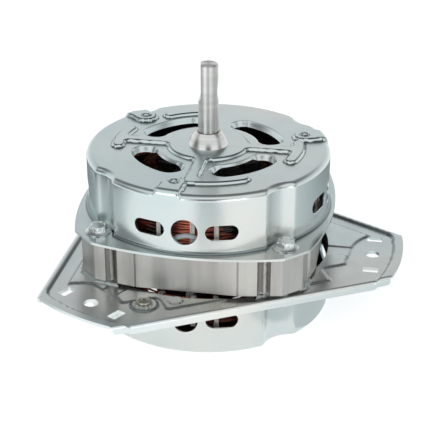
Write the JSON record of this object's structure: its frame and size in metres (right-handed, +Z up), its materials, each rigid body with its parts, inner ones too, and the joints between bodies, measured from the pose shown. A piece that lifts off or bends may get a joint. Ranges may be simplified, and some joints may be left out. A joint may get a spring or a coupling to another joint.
{
  "type": "washing machine motor",
  "caption": "Single-phase washing-machine motor with pressed steel covers, an exposed lamination stack, a triangular mounting bracket and an upright flatted shaft.",
  "frame": {"origin": "centre of the bracket's circle of mounting holes, on the top of its wings' ends", "axes": "+Z up the shaft towards its drive end, +X towards one wing of the bracket, -Y towards the side shown in front"},
  "size_m": [0.1662, 0.1898, 0.1246],
  "materials": {
    "lamination": "bare stamped edges, satin",
    "liner": "matt polyester film",
    "wedge": "matt fibre",
    "copper": "enamelled copper wire, varnished",
    "lacing": "woven cord",
    "protector": "matt moulding",
    "cage": "as cast",
    "shaft": "ground",
    "bush": "sintered bronze, matt",
    "felt": "oil-soaked felt",
    "pressing": "pressed, satin",
    "fibre": "matt laminate",
    "cover": "zinc plated, blue-white passivated",
    "grommet": "matt",
    "bracket": "zinc plated, satin",
    "fastener": "bright zinc plated",
    "earth": "yellow passivated"
  },
  "bodies": {
    "frame": {"stator_core": "lamination", "slot_liners": "liner", "slot_wedges": "wedge", "main_winding": "copper", "auxiliary_winding": "copper", "winding_ties": "lacing", "thermal_protector": "protector", "upper_bush": "bush", "lower_bush": "bush", "upper_felt": "felt", "lower_felt": "felt", "upper_retainer": "pressing", "lower_retainer": "pressing", "upper_cover": "cover", "lower_cover": "cover", "lead_grommet": "grommet", "mounting_bracket": "bracket", "through_bolts": "fastener", "spring_washers": "fastener", "bolt_nuts": "fastener", "earth_screw": "earth", "earth_washer": "earth"},
    "rotor": {"shaft": "shaft", "rotor_core": "lamination", "rotor_cage": "cage", "thrust_washers": "fibre", "oil_slingers": "pressing"}
  },
  "joints": [
    {"name": "rotor_spin", "type": "hinge", "parent": "frame", "child": "rotor", "pos_m": [0, 0, 0], "axis": [0, 0, 1], "continuous": true}
  ]
}
